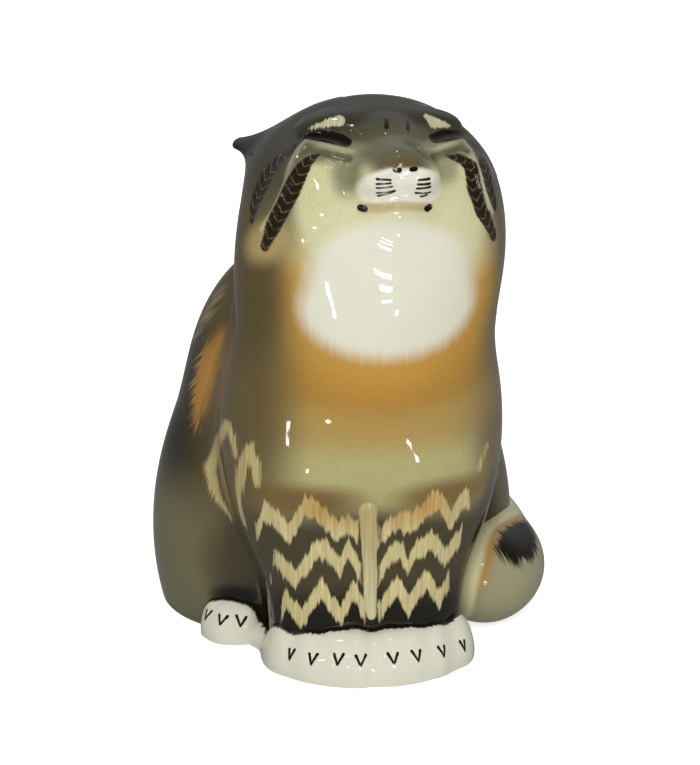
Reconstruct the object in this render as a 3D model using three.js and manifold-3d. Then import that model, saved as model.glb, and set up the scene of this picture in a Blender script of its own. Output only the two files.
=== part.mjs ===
// A glazed porcelain figurine: a seated steppe cat with its face lifted and its eyes shut.
// Such a figure is slip-cast and pressed in pieces, which are luted together with slip before it is fired.
// Sizes are millimetres, +Z is up and the cat faces -Y, so its own right side is at -X.
// The origin is on the table, under the middle of the figure's outline.
import * as THREE from "three";
import { mergeVertices } from "three/addons/utils/BufferGeometryUtils.js";
import Module from "manifold-3d";

const wasm = await Module();
wasm.setup();

// Casting sizes
const WALL = 3.6; // porcelain left in the plaster mould when the slip is drained
const SLIP_LINE = 0.3; // joint between two luted pieces
const KILN_VENT = { diameter: 8, y: 6 }; // lets hot air out through the base
const BASE_PLATE = { thickness: 4, recess: 1.5 }; // closes the body underneath, clear of the table

// Hindquarters
const RUMP = { width: 80.5, depth: 66, height: 122, x: -3.2, y: 9.5, z: 20 };
const BACK = { width: 63.5, depth: 46, height: 62, x: -3.1, y: 4.5, z: 60 };
const HAUNCH = { width: 34, depth: 42, height: 60, spread: 23, y: 8.5, z: 14 };

// Chest, throat, shoulders and forelegs
const CHEST = { width: 58.5, depth: 54, height: 88, x: 1.3, y: -13.5, z: 60 };
const THROAT = { width: 57, depth: 46, height: 50, x: 2, y: -15.5, z: 86 };
const SHOULDER = { width: 28, depth: 40, height: 54, spread: 17, y: -14.5, z: 44 };
const BELLY = { width: 38, depth: 46, height: 50, x: 0.3, y: -10.5, z: 8 };
const FORELEG = { x: 0, spread: 9.5, y: -26.5, top: 44, upper: 14, ankle: 11 };

// Head, in its own frame: x to the cat's left, forward along the nose and up to the crown
const HEAD = { x: 3.4, y: -9.5, z: 101, turn: 6.5, tilt: 30, roll: 2.5 };
const SKULL = { width: 54, depth: 49, height: 45 };
const CHEEK = { width: 28, depth: 34, height: 34, spread: 12.6, forward: 3, up: -7 };
const UNDER_EYE = { width: 19, depth: 13, height: 12, spread: 13, forward: 15.5, up: 1 };
const BROW = { width: 14, depth: 10, height: 7, spread: 10.5, forward: 14.5, up: 11.8 };
const BRIDGE = { width: 16, depth: 24, height: 10, forward: 16, up: -2.4 };
const PAD = { width: 11, depth: 12, height: 9.5, spread: 4.2, forward: 24, up: -2 };
const NOSE = { width: 7, depth: 6, height: 4.4, forward: 27.2, up: 0.9 };
const CHIN = { width: 15, depth: 12, height: 9, forward: 20, up: -8 };
const NECK_JOINT = { drop: 16, slope: 8 };

// Ears, seated on the back of the skull's sides and pointing outwards
const EAR = { width: 16, thickness: 8.4, height: 20.4, round: 1.9, sink: 10.3 };
const EAR_PLACE = { seat: 72, lift: 33, splay: 42, rise: 16 };

// Paws: the front pair is one low slab, split between the forelegs
const FRONT_PAWS = { width: 48, length: 42, height: 10.5, reach: 8.6, shift: 0.1, turn: -1 };
const FRONT_TOE = { width: 8.6, depth: 13, height: 16, lead: 0.8 };
const FRONT_TOE_PLACES = [-19, -13.9, -8.8, -3.7, 3.7, 8.8, 13.9, 19]; // four on each paw
const WEB = { width: 11, depth: 12, height: 9, x: -22, y: -17.4 }; // runs back to the hind paw
const HIND_PAW = { width: 15, length: 22, height: 8.5, azimuth: -134, reach: 6.5, turn: -30 };
const HIND_TOE = { width: 6.2, depth: 11, height: 13.6, lead: 0.4 };
const HIND_TOE_PLACES = [-4.2, 0, 4.2];

// Tail, pressed solid and laid on the table along the cat's left flank
const TAIL = { thickness: 23.5, root: 15, swell: 55, tip: 14, flat: 0.5 };
// Stations of its middle line: azimuth around the rump, and distance out from the skin
const TAIL_LINE = [
  [115, -9],
  [92, -4],
  [60, -3],
  [30, -6],
  [8, -7.5],
  [-12, -5.7],
  [-28, 0.3],
  [-41, 1.6],
  [-53, 1.4],
];

// Melts of the clay where two forms run together
const MELT = { hind: 9, fore: 9, waist: 4, face: 3, neck: 8, toes: 4, ear: 7.6 };

// Facets of the finished solids
const FACET_COUNT = { skin: 12, hollow: 6, paw: 10, ear: 9, vent: 24, tail: 20 };

const radians = THREE.MathUtils.degToRad;
const vector = (x, y, z) => new THREE.Vector3(x, y, z);
const SIDES = [-1, 1]; // the cat's right and left

// Forms are functions that give a point's distance to their surface: negative inside.

function lump(centre, { width, depth, height }, turn = new THREE.Quaternion()) {
  const radii = vector(width / 2, depth / 2, height / 2);
  const back = turn.clone().invert();
  return (point) => {
    const local = point.clone().sub(centre).applyQuaternion(back).divide(radii);
    const share = local.length();
    const steepness = local.divide(radii).length();
    return steepness > 0 ? (share * (share - 1)) / steepness : -Math.min(width, depth, height) / 2;
  };
}

function limb(from, to, fromRadius, toRadius) {
  const line = new THREE.Line3(from, to);
  const nearest = vector(0, 0, 0);
  return (point) => {
    const share = line.closestPointToPointParameter(point, true);
    line.at(share, nearest);
    return nearest.distanceTo(point) - THREE.MathUtils.lerp(fromRadius, toRadius, share);
  };
}

// Joins forms as soft clay, with a fillet of about the melt's size where they meet.
function melt(size, ...forms) {
  return (point) =>
    forms
      .map((form) => form(point))
      .reduce((a, b) => {
        const near = Math.max(size - Math.abs(a - b), 0) / size;
        return Math.min(a, b) - (near * near * size) / 4;
      });
}

// Distance along a ray from inside a form to the place where the form's distance reaches the level.
function reachAlong(form, from, direction, level = 0) {
  const step = 2;
  const halvings = 20;
  const at = vector(0, 0, 0);
  const beyond = (reach) => form(at.copy(direction).multiplyScalar(reach).add(from)) > level;
  let outer = step;
  while (!beyond(outer)) outer += step;
  let inner = outer - step;
  for (let i = 0; i < halvings; i += 1) {
    const middle = (inner + outer) / 2;
    if (beyond(middle)) outer = middle;
    else inner = middle;
  }
  return inner;
}

// A closed solid from any geometry.
function solid(geometry) {
  geometry.deleteAttribute("normal");
  geometry.deleteAttribute("uv");
  const merged = mergeVertices(geometry, 1e-4);
  const vertProperties = merged.attributes.position.array;
  const triVerts = new Uint32Array(merged.index.array);
  return new wasm.Manifold(new wasm.Mesh({ numProp: 3, vertProperties, triVerts }));
}

// The solid inside a form's surface, modelled by drawing a sphere's points out to it from a centre.
function modelled(form, centre, facets, level = 0) {
  const geometry = new THREE.IcosahedronGeometry(1, facets);
  const place = geometry.attributes.position;
  const direction = vector(0, 0, 0);
  for (let i = 0; i < place.count; i += 1) {
    direction.fromBufferAttribute(place, i).normalize();
    const point = direction.clone().multiplyScalar(reachAlong(form, centre, direction, level)).add(centre);
    place.setXYZ(i, point.x, point.y, point.z);
  }
  return solid(geometry);
}

// Everything on one side of a plane through a point: the side that its normal points to.
const FAR = 400;
function halfSpace(point, normal) {
  const box = new THREE.BoxGeometry(FAR, FAR, FAR).translate(0, 0, FAR / 2);
  box.applyQuaternion(new THREE.Quaternion().setFromUnitVectors(vector(0, 0, 1), normal));
  return solid(box.translate(point.x, point.y, point.z));
}
const UP = vector(0, 0, 1);
const DOWN = vector(0, 0, -1);
const aboveTable = halfSpace(vector(0, 0, 0), UP);

// The head's frame and forms
const headCentre = vector(HEAD.x, HEAD.y, HEAD.z);
const headTurn = new THREE.Quaternion().setFromEuler(
  new THREE.Euler(-radians(HEAD.tilt), radians(HEAD.roll), radians(HEAD.turn), "ZXY"),
);
const onHead = (x, forward, up) => vector(x, -forward, up).applyQuaternion(headTurn).add(headCentre);
const onFace = (form, x = 0) => lump(onHead(x, form.forward, form.up), form, headTurn);
const facePair = (form) => SIDES.map((side) => onFace(form, side * form.spread));
const face = melt(
  MELT.face,
  ...facePair(BROW),
  ...facePair(UNDER_EYE),
  onFace(BRIDGE),
  ...facePair(PAD),
  onFace(NOSE),
  onFace(CHIN),
);
const head = melt(MELT.face, melt(MELT.neck, lump(headCentre, SKULL, headTurn), ...facePair(CHEEK)), face);

// The body's forms
const bodyForm = (form) => lump(vector(form.x, form.y, form.z), form);
const bodyPair = (form, middle) =>
  SIDES.map((side) => lump(vector(middle + side * form.spread, form.y, form.z), form));
const forelegs = SIDES.map((side) => {
  const x = FORELEG.x + side * FORELEG.spread;
  const top = vector(x, FORELEG.y, FORELEG.top);
  const sole = vector(x, FORELEG.y, -FORELEG.ankle);
  return limb(top, sole, FORELEG.upper, FORELEG.ankle);
});
const hindquarters = melt(MELT.hind, bodyForm(RUMP), bodyForm(BACK), ...bodyPair(HAUNCH, RUMP.x));
const forequarters = melt(
  MELT.fore,
  bodyForm(CHEST),
  bodyForm(THROAT),
  bodyForm(BELLY),
  ...bodyPair(SHOULDER, FORELEG.x),
  ...forelegs,
);
const figure = melt(MELT.neck, melt(MELT.waist, hindquarters, forequarters), head);

// Head and body are cast hollow, open to each other at the neck, and joined there.
const bodyCentre = vector((RUMP.x + CHEST.x) / 2, (RUMP.y + CHEST.y) / 2, FORELEG.top);
const neckPoint = vector(HEAD.x, HEAD.y, HEAD.z - NECK_JOINT.drop);
const neckNormal = vector(0, -Math.sin(radians(NECK_JOINT.slope)), Math.cos(radians(NECK_JOINT.slope)));
const aboveNeck = halfSpace(neckPoint.clone().addScaledVector(neckNormal, SLIP_LINE), neckNormal);
const belowNeck = halfSpace(neckPoint, neckNormal.clone().negate());
const headShell = modelled(figure, headCentre, FACET_COUNT.skin)
  .subtract(modelled(figure, headCentre, FACET_COUNT.hollow, -WALL))
  .intersect(aboveNeck);
const bodyShell = modelled(figure, bodyCentre, FACET_COUNT.skin)
  .subtract(modelled(figure, bodyCentre, FACET_COUNT.hollow, -WALL))
  .intersect(belowNeck)
  .intersect(aboveTable);

// What is luted on is cut to the curve of its seat.
const headSeat = modelled(figure, headCentre, FACET_COUNT.skin, SLIP_LINE);
const bodySeat = modelled(figure, bodyCentre, FACET_COUNT.skin, SLIP_LINE);

// Each ear is a flattened cone with a round tip, smoothed into the skull around its seat.
function ear(side) {
  const towards = vector(
    side * Math.sin(radians(EAR_PLACE.seat)) * Math.cos(radians(EAR_PLACE.lift)),
    Math.cos(radians(EAR_PLACE.seat)) * Math.cos(radians(EAR_PLACE.lift)),
    Math.sin(radians(EAR_PLACE.lift)),
  ).applyQuaternion(headTurn);
  const seat = towards.clone().multiplyScalar(reachAlong(figure, headCentre, towards)).add(headCentre);
  const axis = vector(
    side * Math.cos(radians(EAR_PLACE.splay)) * Math.cos(radians(EAR_PLACE.rise)),
    Math.sin(radians(EAR_PLACE.splay)) * Math.cos(radians(EAR_PLACE.rise)),
    Math.sin(radians(EAR_PLACE.rise)),
  );
  const toEar = headTurn.clone().multiply(new THREE.Quaternion().setFromUnitVectors(UP, axis)).invert();
  const flatness = EAR.thickness / EAR.width;
  const tip = vector(0, 0, EAR.height - EAR.sink - EAR.round);
  const cone = limb(vector(0, 0, -EAR.sink), tip, EAR.width / 2, EAR.round);
  const local = vector(0, 0, 0);
  const flattened = (point) => {
    local.copy(point).sub(seat).applyQuaternion(toEar);
    local.y /= flatness;
    return cone(local) * flatness;
  };
  const smoothed = melt(MELT.ear, figure, flattened);
  const around = lump(seat, { width: 2 * EAR.height, depth: 2 * EAR.height, height: 2 * EAR.height });
  const form = (point) => Math.max(smoothed(point), around(point));
  return modelled(form, seat, FACET_COUNT.ear).subtract(headSeat);
}

// A paw is a low pad with a row of toes along its front edge, which curves back towards the sides.
function pawForm(front, size, toe, toePlaces) {
  const turned = new THREE.Quaternion().setFromAxisAngle(UP, radians(size.turn));
  const onPaw = (x, back, up) => vector(x, back, up).applyQuaternion(turned).add(front);
  const pad = { width: size.width, depth: size.length, height: 2 * size.height };
  const toes = toePlaces.map((across) => {
    const curve = 1 - Math.sqrt(1 - ((2 * across) / size.width) ** 2);
    const back = (size.length * curve + toe.depth) / 2 - toe.lead;
    return lump(onPaw(across, back, size.height - toe.height / 2), toe, turned);
  });
  return melt(MELT.toes, lump(onPaw(0, size.length / 2, 0), pad, turned), ...toes);
}

const pawSolid = (form, centre, level = 0) =>
  modelled(form, centre, FACET_COUNT.paw, level).intersect(aboveTable);

const pawsMiddle = FORELEG.x + FRONT_PAWS.shift;
const pawsFront = vector(pawsMiddle, FORELEG.y - FORELEG.ankle - FRONT_PAWS.reach, 0);
const pawsCentre = vector(pawsMiddle, FORELEG.y, FRONT_PAWS.height / 3);
const frontPawsForm = melt(
  MELT.toes,
  pawForm(pawsFront, FRONT_PAWS, FRONT_TOE, FRONT_TOE_PLACES),
  lump(vector(WEB.x, WEB.y, 0), WEB),
);
const frontPaws = pawSolid(frontPawsForm, pawsCentre).subtract(bodySeat);
const frontPawsSeat = pawSolid(frontPawsForm, pawsCentre, SLIP_LINE);

function frontPaw(side) {
  const split = vector(FORELEG.x + (side * SLIP_LINE) / 2, 0, 0);
  return frontPaws.intersect(halfSpace(split, vector(side, 0, 0)));
}

// A place beside the hindquarters, at an azimuth around the rump and a distance out from the skin.
function besideRump(azimuth, z, out) {
  const middle = vector(RUMP.x, RUMP.y, z);
  const direction = vector(Math.cos(radians(azimuth)), Math.sin(radians(azimuth)), 0);
  return direction.multiplyScalar(reachAlong(hindquarters, middle, direction) + out).add(middle);
}

function hindPaw() {
  const front = besideRump(HIND_PAW.azimuth, 0, HIND_PAW.reach);
  const centre = besideRump(HIND_PAW.azimuth, HIND_PAW.height / 3, HIND_PAW.reach - HIND_PAW.length / 2);
  const form = pawForm(front, HIND_PAW, HIND_TOE, HIND_TOE_PLACES);
  return pawSolid(form, centre).subtract(bodySeat).subtract(frontPawsSeat);
}

// The tail swells from its root and ends in a blunt tip beside the left foreleg.
function tail() {
  const height = TAIL.thickness / 2 - TAIL.flat;
  const line = new THREE.CatmullRomCurve3(
    TAIL_LINE.map(([azimuth, out]) => besideRump(azimuth, height, out)),
  );
  const length = line.getLength();
  const radius = (share) => {
    const swell = Math.min((share * length) / TAIL.swell, 1);
    const tip = Math.max(1 - ((1 - share) * length) / TAIL.tip, 0);
    return (THREE.MathUtils.lerp(TAIL.root, TAIL.thickness, swell) / 2) * Math.sqrt(1 - tip * tip);
  };
  const rings = FACET_COUNT.tail;
  const spokes = FACET_COUNT.tail;
  const points = [];
  const faces = [];
  for (let i = 0; i < rings; i += 1) {
    const share = Math.sin((Math.PI / 2) * (i / rings));
    const centre = line.getPointAt(share);
    const across = line.getTangentAt(share).cross(UP).normalize();
    for (let j = 0; j < spokes; j += 1) {
      const angle = (2 * Math.PI * j) / spokes;
      const spoke = across.clone().multiplyScalar(Math.cos(angle)).addScaledVector(UP, Math.sin(angle));
      points.push(...spoke.multiplyScalar(radius(share)).add(centre).toArray());
      const a = i * spokes + j;
      const b = i * spokes + ((j + 1) % spokes);
      if (i + 1 < rings) faces.push(a, a + spokes, b, b, a + spokes, b + spokes);
    }
  }
  const root = rings * spokes;
  const last = root - spokes;
  points.push(...line.getPointAt(0).toArray(), ...line.getPointAt(1).toArray());
  for (let j = 0; j < spokes; j += 1) {
    const next = (j + 1) % spokes;
    faces.push(root, j, next, root + 1, last + next, last + j);
  }
  const geometry = new THREE.BufferGeometry();
  geometry.setAttribute("position", new THREE.Float32BufferAttribute(points, 3));
  geometry.setIndex(faces);
  return solid(geometry).intersect(aboveTable).subtract(bodySeat);
}

// The base plate closes the body's hollow, apart from the vent.
function basePlate() {
  const under = BASE_PLATE.recess;
  const over = BASE_PLATE.recess + BASE_PLATE.thickness;
  const ventRadius = KILN_VENT.diameter / 2;
  const vent = new THREE.CylinderGeometry(ventRadius, ventRadius, 4 * over, FACET_COUNT.vent);
  return modelled(figure, bodyCentre, FACET_COUNT.hollow, -WALL - SLIP_LINE)
    .intersect(halfSpace(vector(0, 0, under), UP))
    .intersect(halfSpace(vector(0, 0, over), DOWN))
    .subtract(solid(vent.rotateX(Math.PI / 2).translate(RUMP.x, KILN_VENT.y, 0)));
}

// Colours of the painted and glazed pieces
const glaze = (color) => new THREE.MeshStandardMaterial({ color, roughness: 0.15, metalness: 0 });
const olive = glaze(0x6e6750);
const darkFur = glaze(0x3c3a30);
const ivory = glaze(0xe8e4d2);
const biscuit = new THREE.MeshStandardMaterial({ color: 0xe6dfce, roughness: 0.7, metalness: 0 });

const cat = new THREE.Group();
function add(name, made, material) {
  const { vertProperties, triVerts } = made.getMesh();
  const geometry = new THREE.BufferGeometry();
  geometry.setAttribute("position", new THREE.BufferAttribute(vertProperties, 3));
  geometry.setIndex(new THREE.BufferAttribute(triVerts, 1));
  const mesh = new THREE.Mesh(geometry, material);
  mesh.name = name;
  cat.add(mesh);
}

add("body_shell", bodyShell, olive);
add("head_shell", headShell, olive);
add("right_ear", ear(-1), darkFur);
add("left_ear", ear(1), darkFur);
add("right_front_paw", frontPaw(-1), ivory);
add("left_front_paw", frontPaw(1), ivory);
add("right_hind_paw", hindPaw(), ivory);
add("tail", tail(), olive);
add("base_plate", basePlate(), biscuit);

// The middle of the outline stands over the origin.
const middle = new THREE.Box3().setFromObject(cat).getCenter(vector(0, 0, 0));
cat.position.set(-middle.x, -middle.y, 0);

export default cat;
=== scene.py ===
# A seated steppe cat in hand-painted porcelain: the looks of its pieces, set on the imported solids.
import math

import bpy
import numpy as np
from mathutils import Matrix, Vector


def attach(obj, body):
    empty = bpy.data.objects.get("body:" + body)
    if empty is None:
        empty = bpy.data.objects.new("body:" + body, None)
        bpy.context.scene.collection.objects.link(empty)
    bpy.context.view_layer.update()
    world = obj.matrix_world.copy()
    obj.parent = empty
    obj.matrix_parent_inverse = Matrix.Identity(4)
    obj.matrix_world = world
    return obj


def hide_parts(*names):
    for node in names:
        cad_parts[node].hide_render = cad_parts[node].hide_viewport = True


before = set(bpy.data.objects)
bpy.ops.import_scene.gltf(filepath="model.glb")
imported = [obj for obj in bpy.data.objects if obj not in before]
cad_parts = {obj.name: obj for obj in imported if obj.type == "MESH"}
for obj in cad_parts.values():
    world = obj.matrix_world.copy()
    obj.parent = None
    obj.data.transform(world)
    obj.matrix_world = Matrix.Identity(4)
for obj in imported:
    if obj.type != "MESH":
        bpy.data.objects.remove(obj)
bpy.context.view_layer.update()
MM = 0.001

# The viewpoint: a camera in front of the cat and a little above it, far enough off that the perspective
# is slight.
AIM = Vector((-0.07, -4.56, 56)) * MM
CAMERA_DISTANCE = 620 * MM
CAMERA_AZIMUTH = math.radians(-7)
CAMERA_ELEVATION = math.radians(20)
CAMERA_LENS = 128.4

towards_camera = Vector((
    math.sin(CAMERA_AZIMUTH) * math.cos(CAMERA_ELEVATION),
    -math.cos(CAMERA_AZIMUTH) * math.cos(CAMERA_ELEVATION),
    math.sin(CAMERA_ELEVATION),
))
bpy.ops.object.camera_add(location=AIM + towards_camera * CAMERA_DISTANCE)
camera = bpy.context.object
camera.rotation_euler = towards_camera.to_track_quat("Z", "Y").to_euler()
camera.data.lens = CAMERA_LENS
bpy.context.scene.camera = camera
bpy.context.scene.view_settings.view_transform = "Standard"

# The table and the backdrop are one sweep of matt white paper, and the table keeps the figure's soft
# shadow. The camera sees the paper as white, and the glaze mirrors it and the dim room in front of it.
SOFT_LIGHT = 0.3
WHITE = (1, 1, 1, 1)
PAPER_WHITE = (0.8, 0.8, 0.8, 1)
TABLE_SIZE = 8
PAPER_GLOW = 0.76
PAPER_IN_GLAZE = 0.5
TABLE_IN_GLAZE = 0.2
DIM_ROOM = 0.06


def wired(tree, kind, inputs, **settings):
    """A node with its settings. Its inputs are plain values or other nodes' sockets."""
    node = tree.nodes.new(kind)
    for name, value in settings.items():
        setattr(node, name, value)
    for name, value in inputs.items():
        if isinstance(value, bpy.types.NodeSocket):
            tree.links.new(value, node.inputs[name])
        else:
            node.inputs[name].default_value = value
    return node


def counted(tree, operation, first, second):
    return wired(tree, "ShaderNodeMath", {0: first, 1: second}, operation=operation).outputs[0]


def mirrored(tree, light_path):
    glossy = light_path.outputs["Is Glossy Ray"]
    return counted(tree, "MAXIMUM", glossy, light_path.outputs["Is Transmission Ray"])


def either_way(tree, share, first, second):
    return wired(tree, "ShaderNodeMixShader", {0: share, 1: first.outputs[0], 2: second.outputs[0]})


backdrop = bpy.data.worlds.new("white_backdrop")
backdrop.use_nodes = True
bpy.context.scene.world = backdrop
tree = backdrop.node_tree
tree.nodes.clear()
light_path = wired(tree, "ShaderNodeLightPath", {})
looking = wired(tree, "ShaderNodeTexCoord", {})
looking_at = wired(tree, "ShaderNodeSeparateXYZ", {"Vector": looking.outputs["Generated"]})
behind = wired(tree, "ShaderNodeMapRange", {
    "Value": looking_at.outputs["Y"], "From Min": -0.2, "From Max": 0.6, "To Min": 0.0, "To Max": 1.0,
}, interpolation_type="SMOOTHSTEP")
upwards = wired(tree, "ShaderNodeMapRange", {
    "Value": looking_at.outputs["Z"], "From Min": 0.1, "From Max": 0.7, "To Min": 0.3, "To Max": 1.0,
}, interpolation_type="SMOOTHSTEP")
paper_part = counted(tree, "MULTIPLY", behind.outputs["Result"], upwards.outputs["Result"])
room = wired(tree, "ShaderNodeMapRange", {"Value": paper_part, "To Min": DIM_ROOM, "To Max": PAPER_IN_GLAZE})
soft_light = wired(tree, "ShaderNodeBackground", {"Color": WHITE, "Strength": SOFT_LIGHT})
mirrored_light = wired(tree, "ShaderNodeBackground", {"Color": WHITE, "Strength": room.outputs["Result"]})
white = wired(tree, "ShaderNodeBackground", {"Color": WHITE, "Strength": 1.0})
not_seen = either_way(tree, mirrored(tree, light_path), soft_light, mirrored_light)
sky = either_way(tree, light_path.outputs["Is Camera Ray"], not_seen, white)
wired(tree, "ShaderNodeOutputWorld", {"Surface": sky.outputs[0]})

bpy.ops.object.select_all(action="DESELECT")
bpy.ops.mesh.primitive_plane_add(size=TABLE_SIZE)
table = bpy.context.object
table.name = "table"
paper = bpy.data.materials.new("white_paper")
paper.use_nodes = True
tree = paper.node_tree
tree.nodes.clear()
light_path = wired(tree, "ShaderNodeLightPath", {})
lit = wired(tree, "ShaderNodeBsdfDiffuse", {"Color": PAPER_WHITE})
glow = wired(tree, "ShaderNodeEmission", {
    "Strength": counted(tree, "MULTIPLY", light_path.outputs["Is Camera Ray"], PAPER_GLOW),
})
seen = wired(tree, "ShaderNodeAddShader", {0: lit.outputs[0], 1: glow.outputs[0]})
in_glaze = wired(tree, "ShaderNodeEmission", {"Strength": TABLE_IN_GLAZE})
both = either_way(tree, mirrored(tree, light_path), seen, in_glaze)
wired(tree, "ShaderNodeOutputMaterial", {"Surface": both.outputs[0]})
table.data.materials.append(paper)


# Plain studio light: a broad lamp above the front gives the forms their shade and a weaker one lights the
# back. Short tubes and small bulbs in front of the cat mirror in the glaze as bars and dots.
BULB_GLARE = 22


def hang_lamp(name, place, size, watts, in_glaze):
    bpy.ops.object.light_add(type="AREA", location=Vector(place) * MM)
    lamp = bpy.context.object
    lamp.name = name
    lamp.rotation_euler = (lamp.location - AIM).to_track_quat("Z", "Y").to_euler()
    lamp.data.shape = "RECTANGLE"
    lamp.data.size = size[0] * MM
    lamp.data.size_y = size[1] * MM
    lamp.data.energy = watts
    lamp.visible_glossy = in_glaze
    lamp.visible_camera = False


hang_lamp("broad_lamp", (-60, -660, 640), (520, 420), watts=3.8, in_glaze=False)
hang_lamp("back_lamp", (40, 680, 480), (420, 420), watts=2.0, in_glaze=False)
BULBS = (
    ("tube_low", (118, -620, 66), (80, 13)),
    ("tube_middle", (122, -620, 102), (80, 13)),
    ("tube_high", (126, -620, 138), (80, 13)),
    ("bulb_right", (89, -283, 46), (12, 12)),
    ("bulb_left", (-124, -266, 45), (14, 16)),
    ("cheek_bulb_high", (-277, -495, 381), (36, 20)),
    ("cheek_bulb_middle", (-353, -493, 285), (36, 20)),
    ("cheek_bulb_low", (-468, -418, 178), (36, 20)),
    ("ceiling_bulb", (0, -80, 715), (60, 60)),
    ("ceiling_bulb_front", (60, -420, 560), (40, 30)),
)
for name, place, size in BULBS:
    hang_lamp(name, place, size, BULB_GLARE * math.pi * size[0] * size[1] * MM**2, True)


# The clay original, which the plaster moulds are taken from: lumps and limbs melted into one form.
# Each form is a function from points to their distances from its surface in mm, negative inside.
def lengths(vectors):
    return np.sqrt(np.einsum("ij,ij->i", vectors, vectors))


def lump(middle, size, turn=np.eye(3)):
    middle = np.float32(middle)
    radii = np.float32(size) / 2
    to_ball = np.float32(turn / radii)

    def distance(points):
        local = (points - middle) @ to_ball
        share = lengths(local)
        return share * (share - 1) / np.maximum(lengths(local / radii), 1e-9)

    return distance


def limb(start, end, start_radius, end_radius):
    start = np.float32(start)
    along = np.float32(end) - start

    def distance(points):
        share = np.clip((points - start) @ along / (along @ along), 0, 1)
        radius = start_radius + (end_radius - start_radius) * share
        return lengths(points - start - share[:, None] * along) - radius

    return distance


def melt(size, *forms):
    """Joins forms as soft clay, with a fillet of about that size where they meet."""

    def distance(points):
        joined = forms[0](points)
        for form in forms[1:]:
            other = form(points)
            near = np.maximum(size - np.abs(joined - other), 0) / size
            joined = np.minimum(joined, other) - near * near * size / 4
        return joined

    return distance


RIGHT_AND_LEFT = (-1, 1)
hindquarters = melt(
    9,
    lump((-3.2, 9.5, 20), (80.5, 66, 122)),
    lump((-3.1, 4.5, 60), (63.5, 46, 62)),
    *[lump((-3.2 + side * 23, 8.5, 14), (34, 42, 60)) for side in RIGHT_AND_LEFT],
)
forequarters = melt(
    9,
    lump((1.3, -13.5, 60), (58.5, 54, 88)),
    lump((2, -15.5, 86), (57, 46, 50)),
    lump((0.3, -10.5, 8), (38, 46, 50)),
    *[lump((side * 17, -14.5, 44), (28, 40, 54)) for side in RIGHT_AND_LEFT],
    *[limb((side * 9.5, -26.5, 44), (side * 9.5, -26.5, -11), 14, 11) for side in RIGHT_AND_LEFT],
)

# The head has its own frame: x to the cat's left, forward along the nose, up to the crown.
HEAD_MIDDLE = np.float32((3.4, -9.5, 101))
HEAD_TO_SIDE = math.radians(6.5)
HEAD_LIFT = math.radians(-30)
HEAD_ROLL = math.radians(2.5)
HEAD_TURN = np.float32(
    Matrix.Rotation(HEAD_TO_SIDE, 3, "Z")
    @ Matrix.Rotation(HEAD_LIFT, 3, "X")
    @ Matrix.Rotation(HEAD_ROLL, 3, "Y")
)
FORWARD = np.float32((1, -1, 1))


def on_head(places):
    return HEAD_MIDDLE + np.float32(places) * FORWARD @ HEAD_TURN.T


def in_head(points):
    return (points - HEAD_MIDDLE) @ HEAD_TURN * FORWARD


def face_lump(place, size):
    return lump(on_head(place), size, HEAD_TURN)


def face_pair(spread, forward, up, size):
    return [face_lump((side * spread, forward, up), size) for side in RIGHT_AND_LEFT]


skull = melt(8, face_lump((0, 0, 0), (54, 49, 45)), *face_pair(12.6, 3, -7, (28, 34, 34)))
features = melt(
    3,
    *face_pair(10.5, 14.5, 11.8, (14, 10, 7)),
    *face_pair(13, 15.5, 1, (19, 13, 12)),
    face_lump((0, 16, -2.4), (16, 24, 10)),
    *face_pair(4.2, 24, -2, (11, 12, 9.5)),
    face_lump((0, 27.2, 0.9), (7, 6, 4.4)),
    face_lump((0, 20, -8), (15, 12, 9)),
)
figure = melt(8, melt(4, hindquarters, forequarters), melt(3, skull, features))

# Lines scratched or raised on the clay by hand: each place is x, forward, up in the head's frame, and the
# half-width of the mark there.
EYES = (
    [
        (-17.9, 16.5, 9.6, 0.3), (-16.7, 17.5, 9.6, 0.8), (-15.3, 18.7, 9.2, 1.3), (-13.2, 20, 8.5, 1.6),
        (-11, 21.2, 7.6, 1.6), (-9.6, 22, 6.8, 1.2),
    ],
    [
        (10, 21.5, 7.3, 1.3), (12.5, 20.4, 8.1, 1.6), (15.2, 18.8, 8.9, 1.3), (17.4, 16.6, 9.8, 0.7),
        (18.5, 15.3, 10.2, 0.3),
    ],
)
LIDS = (
    [
        (-8.7, 23.1, 4, 0.4), (-13, 21.4, 5.6, 0.8), (-17.3, 17.7, 8, 0.9), (-19.3, 18, 6, 1),
        (-21.2, 18.8, 2.8, 1), (-22.2, 18.1, -0.8, 0.9), (-23.4, 16.4, -3.6, 0.8), (-25, 14.6, -6.6, 0.6),
        (-27, 11.5, -9.2, 0.4),
    ],
    [
        (6.6, 24.4, 3.1, 0.4), (11.9, 21.9, 5.2, 0.8), (16.9, 18.8, 7.1, 0.9), (17.9, 20.2, 4.7, 1),
        (18.4, 21.2, 1.3, 1), (20, 19.6, -3.4, 0.8), (22.2, 17.4, -8.2, 0.5),
    ],
)
INNER_STRIPES = (
    [
        (-15.7, 21.2, 4.6, 0.7), (-18.1, 20.9, 2.9, 1.4), (-19.8, 20.2, 0.3, 1.9), (-21.2, 18.5, -2.6, 2.1),
        (-22.9, 16.8, -5.8, 2.1), (-24.8, 14.3, -9.3, 2), (-26.6, 11.3, -12.7, 1.4),
    ],
    [
        (12.5, 22.6, 3.3, 0.7), (15.7, 22.1, 2.4, 1.4), (17.2, 21.7, 0.7, 1.7), (17.9, 20.8, -3.7, 2),
        (19.5, 19.4, -8.4, 2), (22.9, 15.7, -12.9, 1.4),
    ],
)
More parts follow.
